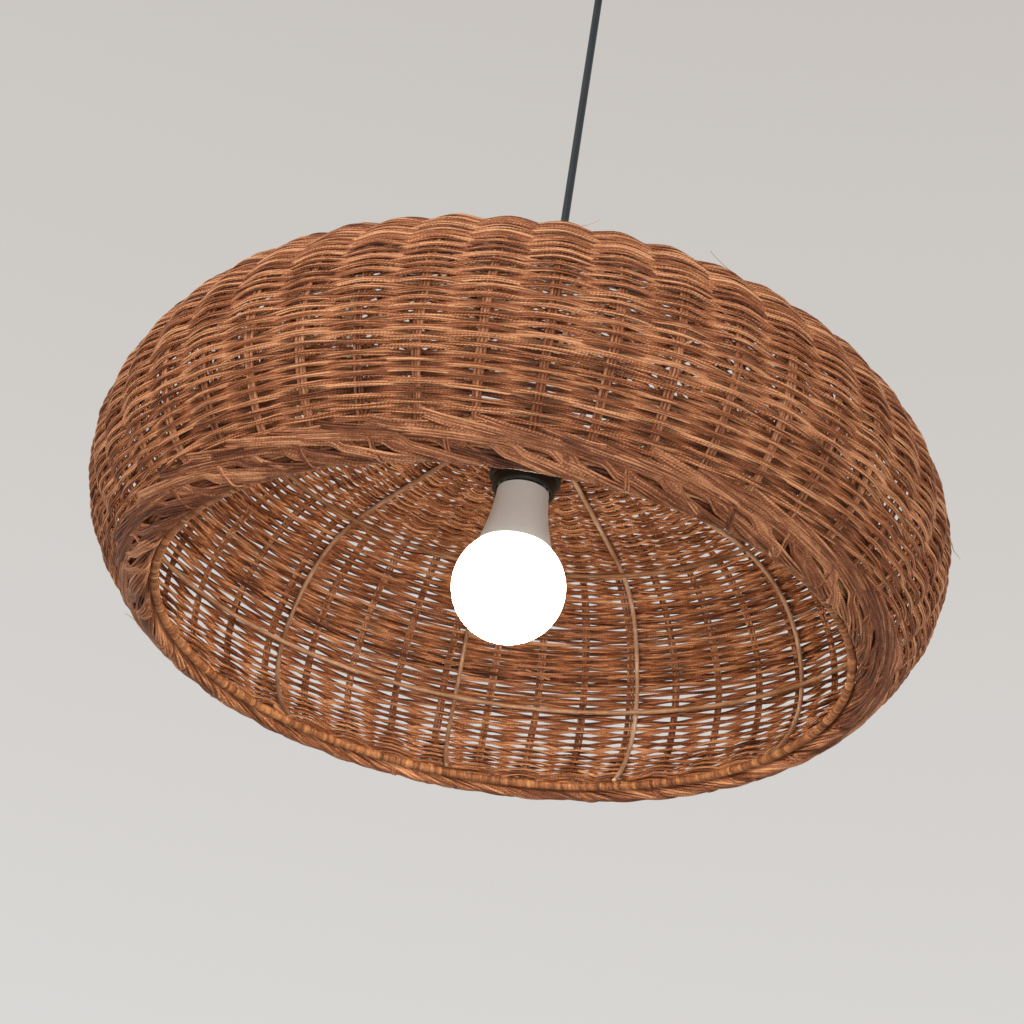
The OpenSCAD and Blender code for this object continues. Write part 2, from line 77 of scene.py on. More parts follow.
class Nodes:
    """A material's node tree, with the few calls that the materials below use."""

    def __init__(self, name):
        self.mat = bpy.data.materials.new(name)
        self.mat.use_nodes = True
        self.tree = self.mat.node_tree
        self.shader = self.tree.nodes["Principled BSDF"]

    def add(self, kind, **settings):
        node = self.tree.nodes.new(kind)
        for key, value in settings.items():
            setattr(node, key, value)
        return node

    def link(self, a, b):
        self.tree.links.new(a, b)

    def put(self, socket, value):
        """Sets a socket, or links to it when the value is another socket."""
        if hasattr(value, "is_output"):
            self.link(value, socket)
        else:
            socket.default_value = value

    def math(self, op, a, b=0.0, c=None, clamp=False):
        node = self.add("ShaderNodeMath", operation=op, use_clamp=clamp)
        self.put(node.inputs[0], a)
        self.put(node.inputs[1], b)
        if c is not None:
            self.put(node.inputs[2], c)
        return node.outputs[0]

    def noise(self, vector, scale, detail=3.0, rough=0.55):
        node = self.add("ShaderNodeTexNoise")
        self.put(node.inputs["Vector"], vector)
        node.inputs["Scale"].default_value = scale
        node.inputs["Detail"].default_value = detail
        node.inputs["Roughness"].default_value = rough
        return node.outputs["Fac"]

    def scaled(self, vector, scale, offset=None):
        node = self.add("ShaderNodeVectorMath", operation="MULTIPLY")
        self.put(node.inputs[0], vector)
        node.inputs[1].default_value = scale
        if offset is None:
            return node.outputs[0]
        more = self.add("ShaderNodeVectorMath", operation="ADD")
        self.link(node.outputs[0], more.inputs[0])
        self.put(more.inputs[1], offset)
        return more.outputs[0]

    def ramp(self, value, stops):
        node = self.add("ShaderNodeValToRGB")
        self.put(node.inputs[0], value)
        ramp = node.color_ramp
        while len(ramp.elements) < len(stops):
            ramp.elements.new(0.5)
        for element, (place, colour) in zip(ramp.elements, stops):
            element.position = place
            element.color = (*colour, 1)
        return node.outputs["Color"]

    def bump(self, height, strength, distance):
        node = self.add("ShaderNodeBump")
        node.inputs["Strength"].default_value = strength
        node.inputs["Distance"].default_value = distance
        self.link(height, node.inputs["Height"])
        self.link(node.outputs["Normal"], self.shader.inputs["Normal"])

    def spread(self, value, low, high):
        node = self.add("ShaderNodeMapRange")
        self.put(node.inputs["Value"], value)
        node.inputs["From Min"].default_value = 0.25
        node.inputs["From Max"].default_value = 0.75
        node.inputs["To Min"].default_value = low
        node.inputs["To Max"].default_value = high
        return node.outputs["Result"]


# grain of the rattan: how fast it changes across and along a strand, per metre and per turn round it
BLOTCH_GRAIN, FIBRE_GRAIN, FINE_GRAIN = (45.0, 0.6, 0.0), (110.0, 9.0, 0.0), (900.0, 5.0, 0.0)
# how much each of these moves the colour between the dark and the light stain; the rope share and the rope
# darkening are painted shade, a twisted strand darker in its grooves and lighter on its ridges
BLOTCH_SHARE, TONE_SHARE, ROPE_GROOVE_SHADE, ROPE_DARKER = 1.5, 0.80, 0.24, -0.12
RECESS_SHADE_DARKER = -0.78                             # painted shade on the side of a row that faces the wall's middle, where the weave's recesses lie in shadow
TWIST_PITCH = 1.7 * MM
TONE_STEP = 37.0                                  # moves the noise on from strand to strand


def cane(name, dark, mid, light, rough=0.52, streak=0.75):
    """Rattan, cane or peel: streaks along the strand, a tone for each strand, some twisted like rope, painted
    shade in grooves and recesses.
    """
    m = Nodes(name)
    uv = m.add("ShaderNodeUVMap", uv_map="strand").outputs["UV"]
    tone = m.add("ShaderNodeAttribute", attribute_name="tone").outputs["Fac"]
    twisted = m.add("ShaderNodeAttribute", attribute_name="twist").outputs["Fac"]
    own = m.add("ShaderNodeCombineXYZ")
    m.link(m.math("MULTIPLY", tone, TONE_STEP), own.inputs["Z"])
    blotch = m.noise(m.scaled(uv, BLOTCH_GRAIN, own.outputs[0]), 1.0, 3.0)
    fibre = m.noise(m.scaled(uv, FIBRE_GRAIN, own.outputs[0]), 1.0, 4.0, 0.7)
    fine = m.noise(m.scaled(uv, FINE_GRAIN, own.outputs[0]), 1.0, 2.0)
    place = m.add("ShaderNodeSeparateXYZ")
    m.link(uv, place.inputs[0])
    turns = m.math("ADD", m.math("DIVIDE", place.outputs["X"], TWIST_PITCH), place.outputs["Y"])
    rope = m.math("SINE", m.math("MULTIPLY", turns, TAU))
    rope = m.math("MULTIPLY", m.math("MULTIPLY_ADD", rope, 0.5, 0.5), twisted)
    level = m.math("MULTIPLY_ADD", m.math("SUBTRACT", blotch, 0.5), BLOTCH_SHARE, 0.5)
    level = m.math("MULTIPLY_ADD", m.math("SUBTRACT", fibre, 0.5), streak, level)
    level = m.math("MULTIPLY_ADD", m.math("SUBTRACT", fine, 0.5), streak * 1.1, level)
    level = m.math("MULTIPLY_ADD", m.math("SUBTRACT", tone, 0.5), TONE_SHARE, level)
    # painted shade: the twist's grooves darker and its ridges lighter, centred by the rope darkening on the
    # next line
    level = m.math("MULTIPLY_ADD", rope, ROPE_GROOVE_SHADE, level)
    level = m.math("MULTIPLY_ADD", twisted, ROPE_DARKER, level, clamp=True)
    # the stain ramp's colour, times painted shade on the side of a row that faces the wall's middle
    stain_and_shade = m.add("ShaderNodeVectorMath", operation="SCALE")
    m.link(m.ramp(level, [(0.0, dark), (0.5, mid), (1.0, light)]), stain_and_shade.inputs[0])
    hollow = m.add("ShaderNodeAttribute", attribute_name="hollow").outputs["Fac"]
    m.link(m.math("MULTIPLY_ADD", hollow, RECESS_SHADE_DARKER, 1.0), stain_and_shade.inputs["Scale"])
    m.link(stain_and_shade.outputs[0], m.shader.inputs["Base Color"])
    m.link(m.spread(fibre, rough - 0.1, rough + 0.12), m.shader.inputs["Roughness"])
    m.shader.inputs["Specular IOR Level"].default_value = 0.32
    height = m.math("MULTIPLY_ADD", fibre, 0.5, m.math("MULTIPLY", fine, 0.25))
    height = m.math("MULTIPLY_ADD", rope, 0.9, height)
    m.bump(height, 0.55, 0.25 * MM)
    return m.mat


def smooth_material(name, colour, rough, metallic=0.0, grain=600.0, wear=0.06, bump=0.12, brushed=(1, 1, 1),
                    specular=0.5, coat=0.0):
    """Paint, plastic or metal: a slight cloudiness in colour and roughness, and a fine grain in the bump."""
    m = Nodes(name)
    place = m.add("ShaderNodeTexCoord").outputs["Object"]
    cloud = m.noise(place, 55.0, 4.0)
    fine = m.noise(m.scaled(place, tuple(grain * k for k in brushed)), 1.0, 3.0, 0.6)
    both = m.math("MULTIPLY_ADD", m.math("SUBTRACT", fine, 0.5), 0.5, cloud)
    low = tuple(max(0.0, c * (1 - wear)) for c in colour)
    high = tuple(min(1.0, c * (1 + wear) + 0.002) for c in colour)
    m.link(m.ramp(both, [(0.25, low), (0.75, high)]), m.shader.inputs["Base Color"])
    m.link(m.spread(both, rough * 0.82, min(1.0, rough * 1.2)), m.shader.inputs["Roughness"])
    m.shader.inputs["Metallic"].default_value = metallic
    m.shader.inputs["Specular IOR Level"].default_value = specular
    m.shader.inputs["Coat Weight"].default_value = coat
    m.bump(fine, bump, 0.05 * MM)
    return m.mat


# ---------- mesh helpers ----------


END_UV = np.array([[0.0, 0.0], [0.0, 0.3], [0.001, 0.15]])


def mesh_piece(name, verts, quads, body, material, uvs, attributes, fans=()):
    """One object from arrays: quads with a uv pair for each corner, and triangles (fans) that close ends."""
    me = bpy.data.meshes.new(name)
    verts = np.asarray(verts, np.float32).reshape(-1, 3)
    fans = np.asarray(fans, np.int32).reshape(-1, 3)
    corners = np.concatenate([quads.ravel(), fans.ravel()]).astype(np.int32)
    totals = np.concatenate([np.full(len(quads), 4), np.full(len(fans), 3)]).astype(np.int32)
    starts = np.concatenate([[0], np.cumsum(totals)[:-1]]).astype(np.int32)
    me.vertices.add(len(verts))
    me.vertices.foreach_set("co", verts.ravel())
    me.loops.add(len(corners))
    me.loops.foreach_set("vertex_index", corners)
    me.polygons.add(len(totals))
    me.polygons.foreach_set("loop_start", starts)
    me.polygons.foreach_set("loop_total", totals)
    me.polygons.foreach_set("use_smooth", np.ones(len(totals), bool))
    all_uvs = np.concatenate([uvs.reshape(-1, 2), np.tile(END_UV, (len(fans), 1))])
    me.uv_layers.new(name="strand").data.foreach_set("uv", all_uvs.astype(np.float32).ravel())
    for key, values in attributes:
        layer = me.attributes.new(key, "FLOAT", "POINT")
        layer.data.foreach_set("value", np.asarray(values, np.float32).ravel())
    me.validate()
    me.update()
    me.materials.append(material)
    piece = bpy.data.objects.new(name, me)
    bpy.context.collection.objects.link(piece)
    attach(piece, body)
    return piece


def unit(v):
    return v / np.maximum(np.linalg.norm(v, axis=-1, keepdims=True), 1e-12)


END_BULGE = 0.3


def tubes(name, paths, radii, body, material, closed=False, sides=6, ref=None, tone=None, twist=None,
          out=None):
    """Strands swept along paths (strands, points, 3), as one object. ref counts as up across each strand.

    out, for closed strands only, says how far each point lies towards ref, from -1 to 1. The side that faces
    back to the wall's middle gets painted shade, as a recess of the weave.
    """
    paths = np.asarray(paths, float)
    count, n, _ = paths.shape
    one_each = (count, -1) if np.ndim(radii) else (1, 1)
    radii = np.broadcast_to(np.asarray(radii, float).reshape(one_each), (count, n))
    if closed:
        along = unit(np.roll(paths, -1, 1) - np.roll(paths, 1, 1))
    else:
        ahead = np.concatenate([paths[:, 1:], paths[:, -1:]], 1)
        behind = np.concatenate([paths[:, :1], paths[:, :-1]], 1)
        along = unit(ahead - behind)
    ref = np.broadcast_to(np.array([0.0, 0.0, 1.0]) if ref is None else ref, paths.shape)
    up = unit(ref - along * (ref * along).sum(-1, keepdims=True))
    side = np.cross(along, up)
    angle = TAU * np.arange(sides) / sides
    ring = (np.cos(angle)[:, None] * up[:, :, None, :] + np.sin(angle)[:, None] * side[:, :, None, :])
    verts = paths[:, :, None, :] + ring * radii[:, :, None, None]
    spans = n if closed else n - 1
    index = np.arange(count * n * sides).reshape(count, n, sides)
    here = index[:, :spans]
    there = np.roll(index, -1, 1)[:, :spans]
    faces = np.stack([here, np.roll(here, -1, 2), np.roll(there, -1, 2), there], -1).reshape(-1, 4)
    steps = np.linalg.norm(np.diff(np.concatenate([paths, paths[:, :1]], 1), axis=1), axis=-1)
    reach = np.concatenate([np.zeros((count, 1)), np.cumsum(steps, 1)], 1)
    start = rng.rand(count, 1) * 3.0          # each strand shows another part of the grain
    u0 = (reach[:, :spans] + start)[:, :, None] + np.zeros(sides)
    u1 = (reach[:, 1:spans + 1] + start)[:, :, None] + np.zeros(sides)
    v0 = np.broadcast_to(np.arange(sides) / sides, u0.shape)
    v1 = v0 + 1.0 / sides
    uvs = np.stack([np.stack(uv, -1) for uv in ((u0, v0), (u0, v1), (u1, v1), (u1, v0))], -2)
    verts = verts.reshape(-1, 3)
    tone = rng.rand(count) if tone is None else np.broadcast_to(tone, count)
    twist = np.zeros(count) if twist is None else np.broadcast_to(twist, count)
    tone_points, twist_points, fans = np.repeat(tone, n * sides), np.repeat(twist, n * sides), ()
    if not closed:                       # each end closes on a slightly pushed-out middle point
        ends = np.stack([paths[:, 0] - along[:, 0] * radii[:, :1] * END_BULGE,
                         paths[:, -1] + along[:, -1] * radii[:, -1:] * END_BULGE], 1).reshape(-1, 3)
        tip = len(verts) + 2 * np.arange(count)[:, None]
        verts = np.concatenate([verts, ends])
        a, z = index[:, 0], index[:, -1]
        fans = np.concatenate([np.stack([np.roll(a, -1, 1), a, tip + 0 * a], -1),
                               np.stack([z, np.roll(z, -1, 1), tip + 1 + 0 * z], -1)])
        tone_points = np.concatenate([tone_points, np.repeat(tone, 2)])
        twist_points = np.concatenate([twist_points, np.repeat(twist, 2)])
    values = [("tone", tone_points), ("twist", twist_points)]
    if out is not None:
        # painted shade on the side of a strand that faces back to the wall's middle
        values.append(("hollow", np.clip(-np.cos(angle) * out[:, :, None], 0, 1)))
    return mesh_piece(name, verts, faces, body, material, uvs, values, fans)


# ---------- materials ----------

weave_mat = cane("rattan_weave_strands", (0.050, 0.009, 0.002), (0.355, 0.115, 0.042), (0.84, 0.43, 0.215))
stake_mat = cane("rattan_stakes", (0.080, 0.020, 0.007), (0.34, 0.120, 0.052), (0.72, 0.37, 0.19))
border_mat = cane("rattan_border_strands", (0.050, 0.011, 0.0035), (0.265, 0.086, 0.034),
                  (0.70, 0.335, 0.165))
wrap_mat = cane("cane_wrap_peel", (0.08, 0.022, 0.008), (0.31, 0.110, 0.038), (0.70, 0.33, 0.13), rough=0.45)
wire_mat = cane("frame_wire_finish", (0.26, 0.12, 0.06), (0.56, 0.34, 0.21), (0.88, 0.68, 0.50),
                rough=0.36, streak=0.3)
hoop_mat = cane("frame_hoop_finish", (0.13, 0.05, 0.02), (0.38, 0.185, 0.09), (0.68, 0.42, 0.26),
                rough=0.40, streak=0.4)
sheath_mat = smooth_material("cord_sheath_plastic", (0.016, 0.023, 0.028), 0.42, grain=900.0, wear=0.15)

# ---------- cord ----------

CORD_D = 4.6 * MM
CORD_EXIT_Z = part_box("cord")[0].z
CORD_TOP_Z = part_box("cord_grip")[0].z
cord_points = np.zeros((1, 25, 3))
cord_points[0, :, 2] = np.linspace(CORD_EXIT_Z, CORD_TOP_Z, 25)
cord = tubes("hanging_cord", cord_points, CORD_D / 2, "cord", sheath_mat, sides=24,
             ref=(1.0, 0, 0))
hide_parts("cord")

# ---------- outline of the shade ----------

SHADE_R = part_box("woven_shell")[1].x
WALL = 6 * MM
LOW_R, UP_R = 73.8 * MM, 80.5 * MM
BELLY_H = 62 * MM
LOW_A, CROWN_A = math.radians(-57), math.radians(86)
CROWN_HOLE_R = 37 * MM
LOW_CX, UP_CX = SHADE_R - LOW_R, SHADE_R - UP_R
MEAN_R = 0.2                                     # turns a length along the wall into an angle, near enough
LOW_LEN, UP_LEN = -LOW_R * LOW_A, UP_R * CROWN_A
CROWN_R0 = UP_CX + UP_R * math.cos(CROWN_A)
CROWN_LEN = (CROWN_R0 - CROWN_HOLE_R) / math.sin(CROWN_A)
LENGTH = LOW_LEN + UP_LEN + CROWN_LEN


def outline(s):
    """Radius, height over the rim plane and normal of the shell's outer face, at length s up from its edge."""
    s = np.asarray(s, float)
    low = LOW_A + s / LOW_R
    up = (s - LOW_LEN) / UP_R
    angle = np.where(s < LOW_LEN, low, np.minimum(up, CROWN_A))
    arc_r, arc_cx = np.where(s < LOW_LEN, LOW_R, UP_R), np.where(s < LOW_LEN, LOW_CX, UP_CX)
    past = np.maximum(s - LOW_LEN - UP_LEN, 0)
    r = arc_cx + arc_r * np.cos(angle) - past * math.sin(CROWN_A)
    h = BELLY_H + arc_r * np.sin(angle) + past * math.cos(CROWN_A)
    return r, h, np.cos(angle), np.sin(angle)


def on_shell(theta, s, depth):
    """Points at azimuth theta, length s and depth inside the outer face, and the outward normals there."""
    r, h, nr, nh = outline(s)
    r, h = r - depth * nr, h - depth * nh
    c, w = np.cos(theta), np.sin(theta)
    points = np.stack([r * c, r * w, RIM_Z + h], -1)
    normals = np.stack([nr * c, nr * w, nh + 0 * c], -1)
    return points, normals


# ---------- stakes and woven rows ----------

STAKES = 48
BAY = TAU / STAKES
ROD_R = 0.83 * MM
ROD_GAP = 1.55 * MM
INSERT_R = 92 * MM                               # where every second stake starts; the others reach the crown
INSERT_S = LOW_LEN + UP_LEN + (CROWN_R0 - INSERT_R) / math.sin(CROWN_A)
STAKE_POINTS = 120
STAKE_SWAY = 1.4 * MM
smoothing = np.exp(-0.5 * (np.arange(-12, 13) / 5.0) ** 2)
smoothing = smoothing / smoothing.sum()
sway = rng.randn(STAKES, STAKE_POINTS)
for half, first in (("full", 0), ("inserted", 1)):
    stake_paths, stake_refs, stake_tones = [], [], []
    top = LENGTH - 0.5 * MM if first == 0 else INSERT_S + 2 * MM
    stake_s = np.linspace(2 * MM, top, STAKE_POINTS)
    stake_r = outline(stake_s)[0]
    for j in range(first, STAKES, 2):
        drift = np.convolve(sway[j], smoothing, "same") * STAKE_SWAY
        tone = rng.rand()
        for side in (-1, 0, 1):
            across = side * ROD_GAP * (1 + 0.10 * np.sin(stake_s * 90 + j * 2.1))
            lift = 0.22 * MM * np.sin(stake_s * 61 + 1.7 * j + 2 * side) + 0.25 * MM * (side == 0)
            p, nrm = on_shell(j * BAY + (across + drift) / stake_r, stake_s, WALL / 2 - 0.35 * MM + lift)
            stake_paths.append(p)
            stake_refs.append(nrm)
            stake_tones.append(np.clip(0.6 * tone + 0.4 * rng.rand(), 0, 1))
    sizes = ROD_R * rng.uniform(0.9, 1.1, (len(stake_paths), 1))
    tubes(f"rattan_stakes_{half}", stake_paths, sizes, "shade", stake_mat, sides=5,
          ref=np.array(stake_refs), tone=np.array(stake_tones))

ROWS = 122
PER_ROW = 4
PITCH = (LENGTH - 5 * MM) / (ROWS - 1)
STRAND_R = 0.49 * MM
WAVE = 2.0 * MM                                  # how far a row swings before and behind the wall's middle
STRAND_STEP, STEP_AT_STAKE = 0.82, -0.36         # mm between a row's strands, and the change at a stake
ROPE_WIDE, ROPE_DEEP = 0.72 * MM, 0.60 * MM      # how far the strands of a twisted row turn round its middle
DRIFT_WAVES = ((2, 1, 0.3), (3, -1.7, 2), (5, 2.3, 4))

row_s = 2.5 * MM + PITCH * (np.arange(ROWS) + rng.uniform(-0.12, 0.12, ROWS))
row_r = outline(row_s)[0]
row_shift = rng.randn(ROWS, STAKES) * 0.20 * MM
row_swing = 1 + 0.10 * rng.randn(ROWS, STAKES)
row_tight = 1 + 0.5 * rng.randn(ROWS, STAKES)
row_twist = rng.rand(ROWS) < 0.22
row_tone = rng.rand(ROWS)
bay_open = 1 + 0.5 * np.convolve(np.tile(rng.randn(STAKES), 3), [0.3, 0.4, 0.3], "same")[STAKES:2 * STAKES]


def woven_rows(rows, points):
    """Paths, normals, radii, tones, twists and swings of these rows' strands, each strand a closed ring."""
    th = TAU * np.arange(points) / points
    at = th / BAY
    left = at.astype(int) % STAKES
    t = (1 - np.cos(math.pi * (at - np.floor(at)))) / 2

    def eased(values):
        """One value for each stake, eased from stake to stake."""
        return values[left] * (1 - t) + values[(left + 1) % STAKES] * t

    paths, normals, sizes, tones, twists, outs = [], [], [], [], [], []
    for i in rows:
        slow = sum(np.sin(k * th + TAU * rng.rand()) * rng.randn() / k for k in (1, 2, 3, 5)) * 0.16 * MM
        drift = 0.7 * MM * sum(np.sin(k * th + 20 * row_s[i] * q + w) for k, q, w in DRIFT_WAVES)
        centre = np.clip(row_s[i] + slow + drift + eased(row_shift[i]), 1.2 * MM, LENGTH - 0.8 * MM)
        wave = (-1) ** i * (np.cos(STAKES / 2 * th) if row_r[i] > INSERT_R else np.cos(STAKES / 4 * th))
        depth = WALL / 2 - WAVE * np.sign(wave) * np.abs(wave) ** 1.15 * eased(row_swing[i])
        tight = np.clip(np.abs(wave) ** 1.9 * eased(1 + 0.3 * (row_tight[i] * bay_open - 1)), 0, 1.35)
        turns = round(row_r[i] / rng.uniform(0.018, 0.030))
        for k in range(PER_ROW):
            jig = sum(np.sin(m * th + TAU * rng.rand()) * rng.randn() for m in (3, 7, 11, 17)) * 0.05 * MM
            if row_twist[i]:
                psi = turns * th + TAU * k / PER_ROW
                ds, dn = ROPE_WIDE * np.cos(psi), ROPE_DEEP * np.sin(psi)
            else:
                ds = (k - (PER_ROW - 1) / 2) * (STRAND_STEP + STEP_AT_STAKE * tight) * MM
                dn = (0.10 + 0.26 * tight) * MM * (1 if k % 2 else -1)
            p, nrm = on_shell(th, centre + ds + jig, depth - dn)
            paths.append(p)
            normals.append(nrm)
            sizes.append(STRAND_R * rng.uniform(0.86, 1.1) * (1 + 0.06 * np.sin(5 * th + TAU * rng.rand())))
            tones.append(0.35 * row_tone[i] + 0.65 * rng.rand())
            twists.append(1.0 if rng.rand() < (0.75 if row_twist[i] else 0.22) else 0.0)
            outs.append((WALL / 2 - depth) / WAVE)
    return [np.array(x) for x in (paths, normals, sizes, tones, twists, outs)]


side_rows = int((row_r > INSERT_R).sum())
woven = []
for group, points, batch in ((range(side_rows), 384, 12), (range(side_rows, ROWS), 240, 20)):
    for first in range(0, len(group), batch):
        paths, refs, sizes, tones, twists, outs = woven_rows(group[first:first + batch], points)
        woven.append(tubes(f"woven_rows_{len(woven) + 1}", paths, sizes, "shade", weave_mat,
                           closed=True, sides=5, ref=refs, tone=tones, twist=twists, out=outs))
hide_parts("woven_shell")

# ---------- rolled border: stake ends laid round the rim ----------

BORDER_LO, BORDER_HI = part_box("rim_border")
BORDER_CZ = (BORDER_LO.z + BORDER_HI.z) / 2
BORDER_RR = (BORDER_HI.z - BORDER_LO.z) / 2
BORDER_CR = BORDER_HI.x - BORDER_RR
ON_WALL, ROUND_RIM = 26, 46
WALL_RUN, RIM_RUN, HOOK_RUN = 2.4, 2.8, 1.3       # bays passed on the wall, round the rim, by a hooked end
BUNDLE_HALF, STUB_GAP = 2.0 * MM, 1.5 * MM
ROLL_FROM, ROLL_BY = math.radians(-35), math.radians(152)
UNDER, UNDER_WIDTH = math.radians(128), math.radians(34)


def part_of(line, first, last):
    """The part of a line between two of its points, with as many points as the whole line."""
    at = np.linspace(first, last, len(line))
    return np.stack([np.interp(at, np.arange(len(line)), line[:, axis]) for axis in range(3)], -1)


def border_route(start, across, drop_from, lift, tuck, along, run):
    """A stake end that slants down the outside of the wall, rolls under the rim and tucks in inside."""
    t = np.linspace(0, 1, ON_WALL)
    rise = np.clip(t * 5, 0, 1)
    slide = along * BAY * t
    s = drop_from * (1 - t) ** 1.2 + 2.6 * MM + across
    depth_in = WALL * 0.45 * (1 - rise) - lift * rise * (1 - 0.6 * t)
    a, na = on_shell(start + slide, s, depth_in)
    q = np.linspace(0, 1, ROUND_RIM)[1:]
    roll = ROLL_FROM + across / BORDER_RR - q ** 0.85 * ROLL_BY
    knuckle = np.exp(-((q - 0.36) / 0.14) ** 2)
    under = np.exp(-((roll + UNDER) / UNDER_WIDTH) ** 2)
    grip = BORDER_RR - 1.2 * MM + lift * 0.8 + 1.1 * MM * knuckle + 1.9 * MM * under
    th = start + slide[-1] + run * BAY * q
    r = BORDER_CR + grip * np.cos(roll)
    z = BORDER_CZ + grip * np.sin(roll) + tuck * np.clip(q - 0.85, 0, 1)
    b = np.stack([r * np.cos(th), r * np.sin(th), z], -1)
    nb = np.stack([np.cos(roll) * np.cos(th), np.cos(roll) * np.sin(th), np.sin(roll)], -1)
    path, ref = np.concatenate([a, b]), np.concatenate([na, nb])
    for _ in range(3):                           # ease the step from wall to rim
        path[1:-1] = (path[:-2] + 2 * path[1:-1] + path[2:]) / 4
    return path, unit(ref)


STUBS = 30                                        # pairs of short ends turned straight down over the border
border_strands = []                               # path, normals, radius, tone and twist of each strand


def lay_on_border(line, thin, thick, tone, rope_share):
    """Adds one strand of a bundle whose own tone is given; thin and thick are its radius in mm."""
    size = np.full(len(line[0]), rng.uniform(thin, thick) * MM)
    stain = np.clip(0.6 * tone + 0.4 * rng.rand(), 0, 1)
    rope = 1.0 if rope_share and rng.rand() < rope_share else 0.0
    border_strands.append((*line, size, stain, rope))


for j in range(2 * STAKES):
    tone = rng.rand()
    high = (rng.uniform(4.5, 7) if j % 2 else rng.uniform(7, 11.5)) * MM
    begin = (j // 2) * BAY + (0.35 * BAY if j % 2 else 0) + rng.uniform(-0.06, 0.06) * BAY
    rise = rng.uniform(0.5, 1.3) * MM
    for across in np.linspace(-1, 1, 4 if j % 3 else 5) * BUNDLE_HALF:
        line = border_route(begin, across, high, rise + rng.uniform(-0.2, 0.2) * MM, rng.uniform(2, 6) * MM,
                            WALL_RUN, HOOK_RUN if j % 4 == 1 else RIM_RUN)
        lay_on_border(line, 0.66, 0.86, tone, 0.3)
for j in range(STUBS):
    begin = (j + rng.uniform(0.2, 0.8)) * TAU / STUBS
    tone = rng.rand()
    lean = rng.uniform(0.05, 0.35)
    for side in (-0.5, 0.5):
        line = border_route(begin + side * STUB_GAP / BORDER_CR, 0.0, rng.uniform(1.0, 3.5) * MM,
                            1.5 * MM, 3 * MM, lean, 0.3)
        line = [part_of(row, ON_WALL * 0.55, ON_WALL + ROUND_RIM * 0.62) for row in line]
        lay_on_border(line, 0.60, 0.72, tone, 0.0)
paths, refs, sizes, tones, twists = (np.array(column) for column in zip(*border_strands))
border = tubes("rolled_border", paths, sizes, "shade", border_mat,
               sides=5, ref=refs, tone=tones, twist=twists)
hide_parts("rim_border")


def ring_paths(radii, heights, n):
    th = TAU * np.arange(n) / n
    circle = [(r * np.cos(th), r * np.sin(th), np.full(n, z)) for r, z in zip(radii, heights)]
    return np.array([np.stack(axes, -1) for axes in circle])


CORE_PLACES = ((0.0, 0.0), (2.1, 1.2), (-2.0, 1.3), (0.2, -2.0), (0.6, 3.0), (3.0, 3.6))   # mm out and up
core_rings = ring_paths([BORDER_CR + a * MM for a, _ in CORE_PLACES],
                        [BORDER_CZ + b * MM for _, b in CORE_PLACES], 240)
core_rings = core_rings + 0.25 * MM * rng.randn(*core_rings.shape)
tubes("border_core_strands", core_rings, 1.5 * MM, "shade", border_mat, closed=True)

# ---------- wrapped ring round the opening ----------

RING_LO, RING_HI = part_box("rim_wrap")
WRAP_R = (RING_HI.z - RING_LO.z) / 2
RING_R = RING_HI.x - WRAP_R
WRAPS = 510
GROOVE, RIDGE, WRAP_SPREAD = 0.75 * MM, 0.4 * MM, 0.08
WRAP_GRAIN = 2.3
n_ring, n_round = WRAPS * 5, 14
TH, PHI = np.meshgrid(TAU * np.arange(n_ring) / n_ring, TAU * np.arange(n_round) / n_round, indexing="ij")
turn = WRAPS * TH / TAU + PHI / TAU
turn_id = np.floor(turn).astype(int) % WRAPS
ridge = np.abs(np.sin(math.pi * turn)) ** 0.6
wrap_size = rng.uniform(-WRAP_SPREAD, WRAP_SPREAD, WRAPS)[turn_id] * MM
rad = WRAP_R - GROOVE + RIDGE * ridge + wrap_size * ridge
ring_xyz = np.stack([(RING_R + rad * np.cos(PHI)) * np.cos(TH), (RING_R + rad * np.cos(PHI)) * np.sin(TH),
                     RIM_Z + rad * np.sin(PHI)], -1)
idx = np.arange(n_ring * n_round).reshape(n_ring, n_round)
nxt = np.roll(idx, -1, 0)
ring_faces = np.stack([idx, nxt, np.roll(nxt, -1, 1), np.roll(idx, -1, 1)], -1).reshape(-1, 4)
A, B = np.meshgrid(np.arange(n_ring), np.arange(n_round), indexing="ij")
ring_uv = np.stack([np.stack([(B + b) / n_round * TAU * WRAP_R, WRAPS * (A + a) / n_ring * WRAP_GRAIN], -1)
                    for a, b in ((0, 0), (1, 0), (1, 1), (0, 1))], 2)
ring_tone = rng.uniform(0.2, 0.75, WRAPS)[turn_id]
wrap = mesh_piece("wrapped_ring", ring_xyz, ring_faces, "shade", wrap_mat, ring_uv,
                  [("tone", ring_tone), ("twist", np.zeros_like(ring_tone))])
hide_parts("rim_wrap")

# ---------- frame wires ----------

